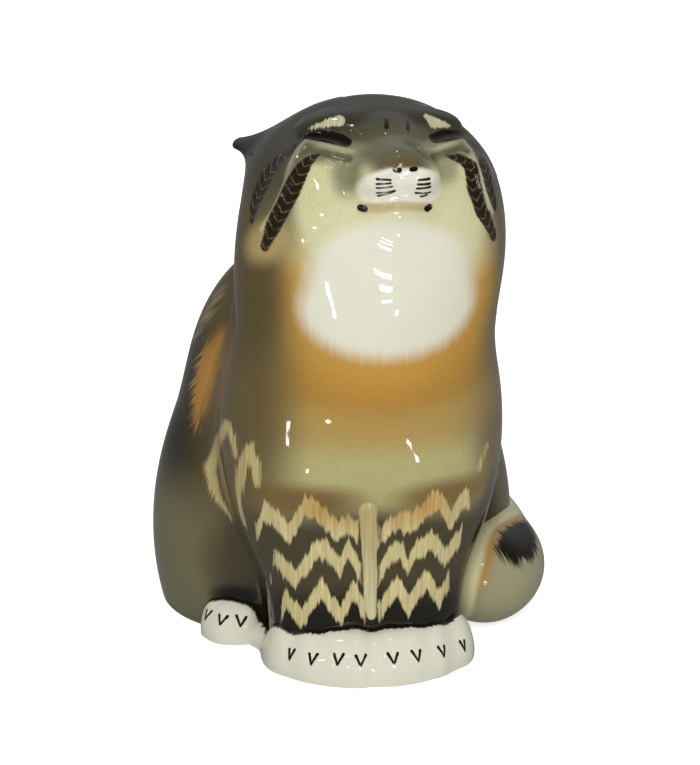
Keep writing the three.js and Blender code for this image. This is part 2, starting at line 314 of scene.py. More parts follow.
OUTER_STRIPES = (
    [
        (-20.6, 16.1, 6.3, 0.9), (-22.8, 14.5, 5.1, 1.9), (-25.1, 12, 2.9, 2.4), (-26.9, 10.5, -0.4, 2.5),
        (-28.1, 8.9, -3.3, 2.1), (-28.8, 7.9, -6.3, 1),
    ],
    [(20.6, 16.7, 5.8, 0.9), (20.9, 19.4, 1.6, 1.7), (22.4, 17.5, -2.3, 2), (23.6, 16, -6.4, 1.4)],
)
FOLDS = (
    [(-9.5, 22.9, 2.6, 0.3), (-13.2, 21.6, 4, 0.3), (-16.6, 19.3, 5.6, 0.3), (-18, 18.8, 4.8, 0.3)],
    [(7.4, 24.2, 1.8, 0.3), (11.9, 22.2, 3.7, 0.3), (15.6, 20, 5.2, 0.3), (16.9, 20.2, 4.4, 0.3)],
)
BRIDGE = [(0, 22.5, 9, 1), (0.5, 27, 3.4, 1)]
MUZZLE_TOP = [(-6, 24.5, 3.4, 1), (0.5, 26, 4, 1), (7, 24.5, 3.4, 1)]
WRINKLES = (
    [(-8.6, 20.6, 10.2, 0.2), (-8.2, 21.1, 9.2, 0.2)],
    [(-7.7, 21, 9.8, 0.2), (-6.8, 21.8, 8.5, 0.2)],
    [(-5.7, 21.4, 9.8, 0.2), (-3.6, 22.4, 8.6, 0.2)],
    [(-1, 22.8, 8.2, 0.2), (0.1, 22.7, 8.5, 0.2)],
    [(-5.7, 23.2, 5.5, 0.2), (-2.4, 23.5, 6, 0.2)],
    [(-1, 23.8, 5.6, 0.2), (0.2, 23.7, 5.9, 0.2)],
    [(-14.5, 22.3, 2.8, 0.2), (-13, 22.8, 1.9, 0.2)],
    [(-14.9, 22.5, 1.1, 0.2), (-13.1, 22.9, 0.7, 0.2)],
    [(-13.9, 22.8, -0.2, 0.2), (-12, 23.3, -1.4, 0.2)],
    [(-10.9, 23.6, 0.4, 0.2), (-10, 23.6, 1.6, 0.2)],
)
MOUTH = [
    (-7.8, 24.2, -8.4, 0.3), (-4.2, 25.6, -8.8, 0.3), (0, 26.3, -8.6, 0.3), (3.5, 25.8, -8.8, 0.3),
    (6.5, 24.6, -8.7, 0.3),
]


SEARCH_STEP = 4
SEARCH_HALVINGS = 11


def reach(form, centre, rays, level=0):
    """How far each ray runs from inside a form to where the form's distance reaches the level."""
    outer = np.full(len(rays), SEARCH_STEP, np.float32)
    inside = np.arange(len(rays))
    while len(inside):
        inside = inside[form(centre + rays[inside] * outer[inside, None]) <= level]
        outer[inside] += SEARCH_STEP
    inner = outer - SEARCH_STEP
    for _ in range(SEARCH_HALVINGS):
        middle = (inner + outer) / 2
        out = form(centre + rays * middle[:, None]) > level
        outer = np.where(out, middle, outer)
        inner = np.where(out, inner, middle)
    return inner


def towards(points):
    return points / lengths(points)[:, None]


def laid(line, centre, form=figure):
    """A line's places moved along rays from a centre onto a form's skin, with their half-widths."""
    line = np.float32(line)
    rays = towards(line[:, :3] - centre)
    line[:, :3] = centre + rays * reach(form, centre, rays)[:, None]
    return line


def on_face(line, form=figure):
    line = np.float32(line)
    line[:, :3] = on_head(line[:, :3])
    return laid(line, HEAD_MIDDLE, form)


NOT_THERE = -9
FAR_OFF = 8


def traced(points, line):
    """How deep points lie inside a line's mark, how far along it, and how far off its middle, in mm."""
    depth = np.full(len(points), NOT_THERE, np.float32)
    along = np.zeros(len(points), np.float32)
    off = np.full(len(points), FAR_OFF, np.float32)
    low = line[:, :3].min(axis=0) - FAR_OFF
    high = line[:, :3].max(axis=0) + FAR_OFF
    near = np.flatnonzero(((points > low) & (points < high)).all(axis=1))
    run = 0
    for start, end in zip(line, line[1:]):
        span = end[:3] - start[:3]
        length = np.sqrt(span @ span)
        share = np.clip((points[near] - start[:3]) @ span / length**2, 0, 1)
        gap = lengths(points[near] - start[:3] - share[:, None] * span)
        inside = start[3] + (end[3] - start[3]) * share - gap
        nearer = inside > depth[near]
        closest = near[nearer]
        depth[closest] = inside[nearer]
        along[closest] = run + share[nearer] * length
        off[closest] = gap[nearer]
        run += length
    return depth, along, off


# Each mark's height in mm, negative where it is scratched in, and the breadth over which it fades
eyes = [on_face(line) for line in EYES]
lids = [on_face(line) for line in LIDS]
stripes = [on_face(line) for line in (*INNER_STRIPES, *OUTER_STRIPES)]
folds = [on_face(line) for line in FOLDS]
mouth = on_face(MOUTH)
face_marks = (
    *[(line, 0.8, 1.3) for line in lids],
    *[(line, -0.45, 1.1) for line in folds],
    *[(line, -0.5, 2) for line in eyes],
    *[(line, -0.3, 2.6) for line in stripes],
    *[(on_face(line), 0.35, 0.7) for line in WRINKLES],
    (on_face(BRIDGE), 1.3, 7),
    (on_face(MUZZLE_TOP), 1.1, 4),
    (mouth, -0.5, 1.2),
)
BETWEEN_LEGS = np.float32((0, -20, 30))
leg_divider = laid([(-1, -38, 38.4, 2), (0, -38.5, 13.5, 1.2)], BETWEEN_LEGS)
leg_marks = ((leg_divider, 0.6, 1.9),)


def marked(form, marks):
    """A form with its marks raised on it or scratched into it."""

    def distance(points):
        height = np.zeros(len(points), np.float32)
        for line, rise, breadth in marks:
            height += rise * np.maximum(1 - (traced(points, line)[2] / breadth) ** 2, 0) ** 2
        return form(points) - height

    return distance


body_skin = marked(figure, leg_marks)
head_skin = marked(figure, face_marks)

CORNERS = np.float32([(1, -1, -1), (-1, -1, 1), (-1, 1, -1), (1, 1, 1)])


def slope(form, points, step=0.04):
    """Unit vectors straight out of a form's surface."""
    return towards(sum(corner * form(points + corner * step)[:, None] for corner in CORNERS))


# The body is slip-cast in a plaster mould and drained, so it is hollow, open at the neck and underneath.
# Its colours are sprayed and brushed on the raw porcelain, with some painted shade among them, and a clear
# glaze is fired over them.
WALL = 3.6
BODY_MIDDLE = np.float32((-0.45, -2, 44))
NECK = (3.4, -9.5, 85)
NECK_SLOPE = math.radians(8)
NECK_UP = Vector((0, -math.sin(NECK_SLOPE), math.cos(NECK_SLOPE)))

# The middle of the figure's outline, in the clay's own measures, stands over the origin.
OUTLINE_MIDDLE = np.float32((-0.534, 0.061, 0))


def clay_places(piece):
    """The places of a piece's points in the clay's measures, in mm."""
    places = np.zeros(len(piece.data.vertices) * 3, np.float32)
    piece.data.vertices.foreach_get("co", places)
    return places.reshape(-1, 3) / MM + OUTLINE_MIDDLE


def move_points(piece, places):
    piece.data.vertices.foreach_set("co", np.float32((places - OUTLINE_MIDDLE) * MM).ravel())
    piece.data.update()


def drawn_out(name, form, centre, rounds, finer=(), level=0):
    """A ball whose points are drawn out from a centre to a form's surface, finer where the work is finer."""
    bpy.ops.object.select_all(action="DESELECT")
    bpy.ops.mesh.primitive_ico_sphere_add(subdivisions=rounds, radius=1)
    piece = bpy.context.object
    piece.name = name
    bpy.context.tool_settings.mesh_select_mode = (False, False, True)
    for wanted in finer:
        bpy.ops.object.mode_set(mode="EDIT")
        bpy.ops.mesh.select_all(action="DESELECT")
        bpy.ops.object.mode_set(mode="OBJECT")
        middles = np.zeros(len(piece.data.polygons) * 3, np.float32)
        piece.data.polygons.foreach_get("center", middles)
        piece.data.polygons.foreach_set("select", wanted(towards(middles.reshape(-1, 3))))
        bpy.ops.object.mode_set(mode="EDIT")
        bpy.ops.mesh.subdivide(number_cuts=1, ngon=False)
        bpy.ops.object.mode_set(mode="OBJECT")
    rays = np.zeros(len(piece.data.vertices) * 3, np.float32)
    piece.data.vertices.foreach_get("co", rays)
    rays = towards(rays.reshape(-1, 3))
    move_points(piece, centre + rays * reach(form, centre, rays, level)[:, None])
    return piece


def carve(piece, tool, operation="DIFFERENCE"):
    cut = piece.modifiers.new("cut", "BOOLEAN")
    cut.operation = operation
    cut.solver = "MANIFOLD"
    cut.object = tool
    bpy.context.view_layer.objects.active = piece
    bpy.ops.object.modifier_apply(modifier=cut.name)


def keep_beyond(piece, place, normal):
    """Cuts a piece off at a plane through a place, and keeps the side that the plane's normal points to."""
    half = 0.2
    normal = Vector(normal)
    bpy.ops.object.select_all(action="DESELECT")
    bpy.ops.mesh.primitive_cube_add(
        size=2 * half,
        location=Vector((np.float32(place) - OUTLINE_MIDDLE) * MM) + normal * half,
        rotation=normal.to_track_quat("Z", "Y").to_euler(),
    )
    block = bpy.context.object
    carve(piece, block, "INTERSECT")
    bpy.data.objects.remove(block)


TABLE_TOP = (0, 0, 0)
UPWARDS = (0, 0, 1)
SKIN_DEPTH = 0.1
NOT_CUT = 0.7


def smooth_skin(piece, form):
    """Shades the outer skin from its form, so that no joint shows under the glaze, and cut faces flat."""
    mesh = piece.data
    points = clay_places(piece)
    corners = np.zeros(len(mesh.loops), np.int32)
    mesh.loops.foreach_get("vertex_index", corners)
    counts = np.zeros(len(mesh.polygons), np.int32)
    mesh.polygons.foreach_get("loop_total", counts)
    facing = np.zeros(len(mesh.polygons) * 3, np.float32)
    mesh.polygons.foreach_get("normal", facing)
    facing = np.repeat(facing.reshape(-1, 3), counts, axis=0)
    outwards = np.where((np.abs(form(points)) < SKIN_DEPTH)[:, None], slope(form, points), 0)[corners]
    smooth = np.einsum("ij,ij->i", outwards, facing) > NOT_CUT
    mesh.shade_smooth()
    mesh.normals_split_custom_set(np.where(smooth[:, None], outwards, facing))


def painted_front(rays):
    """The chest, the legs and the flanks' front, where brushed marks need a finer mesh."""
    return (rays[:, 1] < 0.1) & (rays[:, 2] < 0.5) & (rays[:, 2] > -0.82)


body = drawn_out("body", body_skin, BODY_MIDDLE, 7, (painted_front,))
body_seat = drawn_out("body_seat", body_skin, BODY_MIDDLE, 6)
hollow = drawn_out("hollow", figure, BODY_MIDDLE, 5, level=-WALL)
carve(body, hollow)
bpy.data.objects.remove(hollow)
keep_beyond(body, NECK, -NECK_UP)
keep_beyond(body, TABLE_TOP, UPWARDS)
smooth_skin(body, body_skin)

# Sprayed coats: middle and size in mm, the colour as it looks in plain light, and how softly it fades. Three
# of them are painted shade.
OLIVE_GROUND = (104, 97, 70)
BODY_COATS_AND_SHADE = (
    ((-2, 44, 62), (84, 62, 130), (92, 86, 64), 0.3),
    ((-2, 44, 72), (30, 50, 110), (58, 54, 39), 0.8),
    ((-39, 8, 62), (36, 64, 72), (26, 25, 18), 0.35),
    ((37, 8, 62), (32, 60, 64), (38, 35, 23), 0.35),
    ((38, 4, 57), (12, 34, 12), (132, 98, 54), 0.6),
    ((-40, -2, 14), (44, 54, 40), (114, 110, 82), 0.6),
    ((37, -2, 24), (36, 54, 40), (100, 93, 68), 0.5),
    ((1, -42, 47), (62, 44, 28), (178, 171, 120), 0.4),
    # painted shade darkening the chest's left side
    ((33, -22, 50), (20, 40, 50), (122, 109, 80), 0.5),
    ((3, -42, 61), (62, 38, 15), (176, 146, 84), 0.6),
    ((4, -42, 71), (66, 38, 19), (176, 131, 57), 0.4),
    ((5, -40, 85), (62, 42, 36), (194, 148, 66), 0.28),
    ((-30, -26, 64), (24, 60, 84), (104, 90, 57), 0.6),
    ((-29, -20, 86), (20, 80, 34), (93, 79, 45), 0.35),
    ((-15, -40, 42), (22, 30, 7), (120, 98, 58), 0.6),
    ((16, -40, 42), (20, 30, 7), (126, 104, 62), 0.6),
    ((0, -32, 17), (84, 62, 46), (74, 67, 47), 0.15),
    ((0, -36, 6), (80, 46, 26), (28, 26, 17), 0.35),
    # painted shade above the right hind paw, where it meets the haunch
    ((-29, -19, 9), (14, 12, 7), (20, 19, 12), 0.4),
    # painted shade in the crease between the left foreleg and the tail
    ((30, -22, 22), (16, 30, 40), (46, 41, 28), 0.4),
)
# The same in the head's frame, with painted shade beside the muzzle. They run over the neck's joint onto the
# body.
HEAD_COATS_AND_SHADE = (
    ((0, -2, 9), (66, 62, 44), (60, 58, 46), 0.2),
    ((0, 0, 25), (64, 62, 32), (38, 38, 33), 0.4),
    ((1, 20, 7.5), (25, 22, 7), (84, 81, 60), 0.5),
    ((12, 21, -6), (19, 26, 25), (206, 203, 156), 0.2),
    ((-12, 21, -6), (19, 26, 25), (206, 203, 156), 0.2),
    ((0, 20, -14), (44, 30, 22), (214, 208, 166), 0.35),
    ((0.6, 20.7, -20), (30, 26, 14), (228, 227, 207), 0.6),
    ((1, 25, 3), (21, 18, 9.5), (98, 99, 74), 0.45),
    ((-13, 22, 4.5), (14, 12, 5), (132, 130, 98), 0.5),
    ((12, 22, 4), (12, 12, 5), (136, 134, 102), 0.5),
    # painted shade in the creases beside the muzzle, on both sides
    ((-10.5, 25, -1), (6, 10, 9), (138, 137, 106), 0.6),
    ((11.8, 24.5, 0.5), (5, 9, 7), (156, 155, 122), 0.6),
    ((0.6, 26.5, -4.6), (19.4, 14, 8.4), (228, 227, 208), 0.1),
    ((0.9, 30, -0.3), (6, 5, 2), (106, 86, 54), 0.6),
    ((-26, 11, -12), (13, 16, 9), (176, 156, 104), 0.5),
)


def sprayed(points, colours, coats):
    for middle, size, colour, soft in coats:
        share = lengths((points - np.float32(middle)) / (np.float32(size) / 2))
        cover = np.clip((1 + soft - share) / (2 * soft), 0, 1)
        cover = cover * cover * (3 - 2 * cover)
        colours = colours + cover[:, None] * (np.float32(colour) - colours)
    return colours


# The sprayed colours of body and head, with painted shade among them.
def fur_and_shade_colours(points):
    ground = np.tile(np.float32(OLIVE_GROUND), (len(points), 1))
    return sprayed(in_head(points), sprayed(points, ground, BODY_COATS_AND_SHADE), HEAD_COATS_AND_SHADE)


# The white bib is left bare under the chin, where the spray fades out.
bib = melt(8, lump((4.2, -40, 84.5), (40, 40, 21)), lump((3.6, -38, 93.5), (30, 40, 20)))

# Rows of zigzags combed down both legs with a dry brush: x and z of their turns, low and high by turns.
ZIGZAG_HALF = 2.5
ZIGZAGS = (
    [
        (-24.6, 31), (-23.2, 38.6), (-20.5, 36.6), (-18.1, 33.8), (-14.9, 41), (-12.5, 40.6), (-10.2, 37.7),
        (-7.9, 35), (-5.6, 36.4), (-3.4, 34.4),
    ],
    [
        (1.4, 33), (3.7, 35.6), (5.9, 36.8), (8.1, 36.5), (9.8, 37.6), (12.9, 40.8), (15.2, 40.4),
        (17.4, 35.2), (20, 40.2), (21.8, 39.6),
    ],
    [
        (-21.4, 22), (-21.2, 27.2), (-16.8, 22.8), (-12, 30.8), (-10.1, 30.4), (-7.2, 25.6), (-5.3, 30.6),
        (-2.4, 23.8),
    ],
    [(1.4, 23), (3.9, 28.4), (5.8, 30), (7.9, 25.2), (9.6, 29.4), (13.2, 31.4), (16.3, 26.4), (20.2, 31)],
    [
        (-19.7, 12), (-18.7, 17.4), (-15.5, 12.8), (-11.4, 21), (-8.5, 16), (-6.7, 14), (-4, 20.6),
        (-1.4, 13.6),
    ],
    [(1.7, 14), (4, 18.4), (6, 20.4), (8.3, 15.4), (10.2, 19.9), (12.5, 21.6), (15.2, 15.8), (17.6, 20.4)],
)
# Tan strokes down the outer sides of the forelegs, as x, y, z and half-width
LEG_STROKES = (
    [
        (-30.1, -22.3, 53.5, 1.7), (-31.7, -13.1, 45.1, 2.2), (-33, -10.6, 39.1, 2),
        (-31.7, -13.5, 33.4, 1.4), (-29, -17.9, 29.5, 0.5),
    ],
    [(-29.7, -23.4, 53.5, 1.7), (-29.1, -25.7, 51.5, 1.6), (-28.8, -27, 49, 1)],
    [(-26, -31.4, 51.2, 1.7), (-27.7, -29.6, 45.2, 1.9), (-28.3, -27.3, 38.6, 1.4), (-26.9, -27.7, 32, 0.6)],
    [(-25.9, -31.8, 50.9, 1.7), (-25.1, -33.2, 48.6, 1.8), (-24.8, -34, 45, 1.2)],
    [(26.3, -32.3, 50.2, 0.6), (23.8, -35.6, 45.8, 0.4)],
)
# Orange and beige streaks on the right flank, brushed aslant with a dry brush
FLANK_STREAKS = [
    (-29.7, -6.7, 69.4, 1), (-32, -5.7, 63.7, 3.2), (-33.6, -4.8, 58.7, 4.2), (-34.7, -4.1, 53.6, 3.6),
    (-35.5, -3.7, 48.5, 1),
]
UPPER_STREAKS = [(-29.7, 0.7, 76.2, 1), (-32.2, 1.7, 72.1, 2.2), (-34.5, 4, 66, 1)]
CREAM = (212, 198, 144)
TAN = (196, 158, 92)
STROKE_TAN = (198, 180, 122)
ORANGE = (188, 136, 66)
BEIGE = (146, 132, 98)
BAR_TOP = (194, 176, 124)
BAR_FOOT = (218, 211, 170)
BAR_FADE = (16, 20)
LEGS_BACK = -14
WARM_HEIGHT = (34, 6)
WARM_WIDTH = (20, 8)
STROKE_WETNESS = 1
STREAK_WETNESS = 0.3
BAR_WETNESS = 5


def rising(values, fade):
    """From 0 to 1 over a stretch that is given by its start and length."""
    start, length = fade
    return np.clip((values - start) / length, 0, 1)


def zigzag_depth(points, turns):
    """How deep points lie in a band that zigzags through its turns, measured upright."""
    across, heights = zip(*turns)
    depth = ZIGZAG_HALF - np.abs(points[:, 2] - np.interp(points[:, 0], across, heights))
    beyond = np.maximum(across[0] - points[:, 0], points[:, 0] - across[-1])
    return np.minimum(depth, -2 * beyond)


leg_strokes = [laid(line, BODY_MIDDLE) for line in LEG_STROKES]
flank_streaks = laid(FLANK_STREAKS, BODY_MIDDLE)
upper_streaks = laid(UPPER_STREAKS, BODY_MIDDLE)


def body_brushwork(points):
    """Depths in the brushed marks, in mm, deeper where the brush was wetter, and the marks' colours."""
    depth = np.max([zigzag_depth(points, turns) for turns in ZIGZAGS], axis=0)
    depth = np.where(points[:, 1] < LEGS_BACK, depth, NOT_THERE)
    half_width, side_fade = WARM_WIDTH
    warm = rising(points[:, 2], WARM_HEIGHT) * np.clip((half_width - np.abs(points[:, 0])) / side_fade, 0, 1)
    colours = np.float32(CREAM) + warm[:, None] * (np.float32(TAN) - np.float32(CREAM))
    marks = [(line, STROKE_WETNESS, STROKE_TAN) for line in leg_strokes]
    marks += [(flank_streaks, STREAK_WETNESS, ORANGE), (upper_streaks, STREAK_WETNESS, BEIGE)]
    up_bar = rising(points[:, 2], BAR_FADE)[:, None]
    marks.append((leg_divider, BAR_WETNESS, BAR_FOOT + up_bar * (np.float32(BAR_TOP) - BAR_FOOT)))
    for line, wetness, colour in marks:
        mark = traced(points, line)[0] * wetness
        colours = np.where((mark > depth)[:, None], np.float32(colour), colours)
        depth = np.maximum(depth, mark)
    return depth, colours


def lit_colour(colours):
    """Linear light of colours written as they look, from 0 to 255."""
    share = np.array(colours, float) / 255
    return np.where(share <= 0.04045, share / 12.92, ((share + 0.055) / 1.055) ** 2.4)


def opaque(colour):
    return (*lit_colour(colour), 1)


def paint(piece, colours, **marks):
    """Keeps a piece's colours and brush marks on its points, for the glaze to show."""
    count = len(piece.data.vertices)
    unmarked = {
        "bare": np.full(count, NOT_THERE),
        "brush": np.full(count, NOT_THERE),
        "ink": np.full(count, NOT_THERE),
        "stripe": np.full(count, NOT_THERE),
        "barb": np.zeros(count),
        "brush_colour": np.tile(CREAM, (count, 1)),
        "comb": np.zeros((count, 3)),
    }
    for name, values in {**unmarked, **marks, "coat": colours}.items():
        if name in ("coat", "brush_colour"):
            kept = piece.data.attributes.new(name, "FLOAT_COLOR", "POINT")
            clear = np.column_stack((lit_colour(values), np.ones(count)))
            kept.data.foreach_set("color", clear.ravel())
        elif name == "comb":
            kept = piece.data.attributes.new(name, "FLOAT_VECTOR", "POINT")
            kept.data.foreach_set("vector", values.ravel())
        else:
            kept = piece.data.attributes.new(name, "FLOAT", "POINT")
            kept.data.foreach_set("value", values)


IVORY = (228, 227, 207)
INK = (22, 17, 12)
STRIPE_DARK = (36, 29, 20)
STRIPE_PALE = (112, 96, 66)
BARB_PITCH = 2.2
BIB_WAVER = 1.6
BIB_FADE = 2.6
SPRAY_GRAIN = 2600
GLAZE_SWELL = 70
GLAZE_UNEVENNESS = 0.4 * MM


def painted_glaze():
    """Underglaze colours with brush-hair streaks and spray grain, under a clear gloss glaze."""
    material = bpy.data.materials.new("painted_glaze")
    material.use_nodes = True
    tree = material.node_tree
    tree.nodes.clear()

    def kept(name):
        return wired(tree, "ShaderNodeAttribute", {}, attribute_name=name)

    def noise(place, scale, detail):
        made = wired(tree, "ShaderNodeTexNoise", {"Vector": place, "Scale": scale, "Detail": detail})
        return counted(tree, "SUBTRACT", made.outputs["Fac"], 0.5)

    def combed(fineness, length):
        hairs = wired(tree, "ShaderNodeMapping", {
            "Vector": kept("comb").outputs["Vector"],
            "Scale": (fineness, 1 / length, 1),
        })
        return noise(hairs.outputs["Vector"], 1, 3)

    def edge(depth, waver, reach, soft):
        moved = wired(tree, "ShaderNodeMath", {0: waver, 1: reach, 2: depth}, operation="MULTIPLY_ADD")
        cover = wired(tree, "ShaderNodeMapRange", {
            "Value": moved.outputs[0],
            "From Min": -soft,
            "From Max": soft,
        }, interpolation_type="SMOOTHSTEP")
        return cover.outputs["Result"]

    def over(under, top, cover):
        mixed = wired(tree, "ShaderNodeMix", {0: cover, 6: under, 7: top}, data_type="RGBA")
        return mixed.outputs[2]

    place = wired(tree, "ShaderNodeTexCoord", {}).outputs["Object"]
    hairs = combed(1.7, 10)
    grain = noise(place, SPRAY_GRAIN, 2)

    shade = wired(tree, "ShaderNodeMapRange", {
        "Value": grain, "From Min": -0.25, "From Max": 0.25, "To Min": 0.9, "To Max": 1.1,
    })
    colour = wired(tree, "ShaderNodeMix", {
        0: 1.0, 6: kept("coat").outputs["Color"], 7: shade.outputs["Result"],
    }, data_type="RGBA", blend_type="MULTIPLY").outputs[2]
    colour = over(colour, opaque(IVORY), edge(kept("bare").outputs["Fac"], hairs, BIB_WAVER, BIB_FADE))
    wet = wired(tree, "ShaderNodeMath", {
        0: kept("brush").outputs["Fac"], 1: 0.2, 2: hairs,
    }, operation="MULTIPLY_ADD")
    brushed = wired(tree, "ShaderNodeMapRange", {
        "Value": wet.outputs[0], "From Min": -0.12, "From Max": 0.16,
    }, interpolation_type="SMOOTHSTEP")
    dry = wired(tree, "ShaderNodeMapRange", {
        "Value": combed(2.6, 14), "From Min": -0.2, "From Max": 0.2, "To Min": 0.74, "To Max": 1.14,
    })
    streaked = wired(tree, "ShaderNodeMix", {
        0: 1.0, 6: kept("brush_colour").outputs["Color"], 7: dry.outputs["Result"],
    }, data_type="RGBA", blend_type="MULTIPLY").outputs[2]
    colour = over(colour, streaked, brushed.outputs["Result"])
    barb = counted(tree, "PINGPONG", kept("barb").outputs["Fac"], BARB_PITCH / 2)
    scratch = edge(counted(tree, "SUBTRACT", 0.12, barb), grain, 1, 0.16)
    braid = over(opaque(STRIPE_DARK), opaque(STRIPE_PALE), scratch)
    colour = over(colour, braid, edge(kept("stripe").outputs["Fac"], grain, 0.8, 0.25))
    colour = over(colour, opaque(INK), edge(kept("ink").outputs["Fac"], grain, 0.25, 0.12))

    swell = noise(place, GLAZE_SWELL, 1)
    uneven = wired(tree, "ShaderNodeBump", {"Strength": 0.12, "Distance": GLAZE_UNEVENNESS, "Height": swell})
    glaze = wired(tree, "ShaderNodeBsdfPrincipled", {
        "Base Color": colour,
        "Roughness": 0.5,
        "Specular IOR Level": 0.0,
        "Coat Weight": 1.0,
        "Coat Roughness": 0.04,
        "Coat IOR": 1.5,
        "Normal": uneven.outputs["Normal"],
        "Coat Normal": uneven.outputs["Normal"],
    })
    wired(tree, "ShaderNodeOutputMaterial", {"Surface": glaze.outputs[0]})
    return material


glaze = painted_glaze()


BODY_RADIUS = 30
FLANK_FADE = (1.1, 0.4)
FLANK_LEAN = 0.9


def combed_down(points):
    """Coordinates for brush hairs that run down the legs and aslant over the flanks, in mm."""
    round_body = np.arctan2(points[:, 0], -points[:, 1])
    lean = rising(np.abs(round_body), FLANK_FADE)
    across = round_body * BODY_RADIUS + np.sign(round_body) * lean * points[:, 2] * FLANK_LEAN
    return np.column_stack((across, points[:, 2], np.zeros(len(points))))


def join_to_figure(piece, node):
    piece.data.materials.clear()
    piece.data.materials.append(glaze)
    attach(piece, "root")
    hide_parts(node)


points = clay_places(body)
depth, brush_colours = body_brushwork(points)
paint(
    body,
    fur_and_shade_colours(points),
    bare=-bib(points),
    brush=depth,
    brush_colour=brush_colours,
    comb=combed_down(points),
)
join_to_figure(body, "body_shell")


# The head is cast hollow like the body and luted to it at the neck. Its face is sprayed grey and cream,
# with shut eyes, braided cheek stripes, whiskers and nostrils drawn in black with a liner brush.
def front_half(rays):
    """The face and the cheeks, and within them the face alone and the muzzle, each with a finer mesh."""
    return -(rays @ HEAD_TURN)[:, 1] > 0


def face_front(rays):
    return -(rays @ HEAD_TURN)[:, 1] > 0.28


def muzzle_front(rays):
    local = rays @ HEAD_TURN
    return (-local[:, 1] > 0.85) & (np.abs(local[:, 0]) < 0.35) & (local[:, 2] < 0.1) & (local[:, 2] > -0.4)


head = drawn_out("head", head_skin, HEAD_MIDDLE, 6, (front_half, face_front, muzzle_front))
head_seat = drawn_out("head_seat", head_skin, HEAD_MIDDLE, 6)
hollow = drawn_out("hollow", figure, HEAD_MIDDLE, 5, level=-WALL)
carve(head, hollow)
bpy.data.objects.remove(hollow)
keep_beyond(head, NECK, NECK_UP)
smooth_skin(head, head_skin)

# Lines sprayed softly along the lids, and lines of painted shade in the lids' folds and along the mouth under
# the muzzle
LID_PALE = (196, 195, 160)
FOLD_SHADE = (86, 82, 58)
MOUTH_SHADE = (186, 168, 122)
BROW_CREAM = (200, 194, 162)
BROW_WETNESS = 3
BARB_SLANT = 0.9
BROW_PATCHES = (
    [(-16.2, 17.6, 11, 0.3), (-13.3, 19.2, 11.4, 0.8), (-10.2, 19.9, 12, 1.4)],
    [(8.9, 19.8, 12.6, 0.7), (10.4, 20.2, 11.2, 1.4), (13.8, 18.9, 10.5, 0.4)],
)
LINER_MARKS = (
    [(-17.1, 17.1, 9.5, 0.35), (-19, 16, 8.3, 0.3), (-20.8, 15.8, 6.4, 0.25)],
    [(18.4, 15.4, 10, 0.35), (20, 15.4, 7.7, 0.3), (20.4, 18.6, 4.2, 0.25)],
    [(-0.5, 21.4, 11, 0.45), (-0.9, 22.5, 8.8, 0.5)],
    [(4.2, 21, 11, 0.45), (3.8, 22.3, 8.7, 0.5)],
    [(-1.3, 29.9, -1.6, 0.6), (-0.5, 29.9, -1.8, 0.6)],
    [(2.2, 30, -1.7, 0.55), (3, 30, -1.6, 0.55)],
    [(-8.1, 24.1, -8.2, 0.75), (-7.3, 24.4, -8.6, 0.75)],
    [(6.3, 24.6, -9, 0.7), (6.9, 24.5, -8.5, 0.7)],
)
WHISKERS = (
    [(-5.3, 29.6, -3.5, 0.3), (-2.4, 29.4, -3.7, 0.26)],
    [(-5.3, 29, -4.4, 0.28), (-2.3, 29, -4.3, 0.24)],
    [(-5.2, 28.4, -5.1, 0.26), (-1.9, 28.4, -4.9, 0.22)],
    [(-5, 27.4, -5.9, 0.26), (-1.1, 27.7, -5.6, 0.2)],
    [(-4.7, 26.8, -6.4, 0.26), (-1.4, 27.5, -5.8, 0.2)],
    [(3.7, 29.5, -3.9, 0.28), (6, 29.3, -3.6, 0.34)],
    [(3.6, 29, -4.7, 0.3), (6.2, 28.7, -4.5, 0.34)],
    [(3.5, 28.3, -5.4, 0.3), (6.4, 27.9, -5, 0.34)],
    [(3.3, 27.4, -6.1, 0.28), (6.7, 26.5, -5.8, 0.32)],
    [(4.6, 26.5, -6.7, 0.26), (6, 26.2, -6.3, 0.26)],
)
brow_patches = [on_face(line, head_skin) for line in BROW_PATCHES]
liner_marks = [on_face(line, head_skin) for line in (*EYES, *LINER_MARKS, *WHISKERS)]
soft_lines = (
    *[(line, LID_PALE, 0.8) for line in lids],
    # painted shade in the folds and along the mouth's crease
    *[(line, FOLD_SHADE, 0.8) for line in folds],
    (mouth, MOUTH_SHADE, 0.9),
)


# The head's sprayed colours, with pale lids and painted shade along the folds and the mouth.
def head_colours(points):
    colours = fur_and_shade_colours(points)
    for line, colour, breadth in soft_lines:
        cover = np.exp(-((traced(points, line)[2] / breadth) ** 2))[:, None]
        colours = colours + cover * (np.float32(colour) - colours)
    return colours


def braided(points):
    """How deep points lie in the cheek stripes, and where the stripes' slanting scratches fall."""
    depth = np.full(len(points), float(NOT_THERE))
    barb = np.zeros(len(points))
    for line in stripes:
        inside, along, off = traced(points, line)
        barb = np.where(inside > depth, along + BARB_SLANT * off, barb)
        depth = np.maximum(depth, inside)
    return depth, barb


def paint_head(piece, colours):
    points = clay_places(piece)
    stripe_depth, barb = braided(points)
    patches = np.max([traced(points, line)[0] for line in brow_patches], axis=0)
    paint(
        piece,
        colours,
        bare=-bib(points),
        brush=patches * BROW_WETNESS,
        brush_colour=np.tile(BROW_CREAM, (len(points), 1)),
        ink=np.max([traced(points, line)[0] for line in liner_marks], axis=0),
        stripe=stripe_depth,
        barb=barb,
        comb=combed_down(points),
    )


paint_head(head, head_colours(clay_places(head)))
join_to_figure(head, "head_shell")

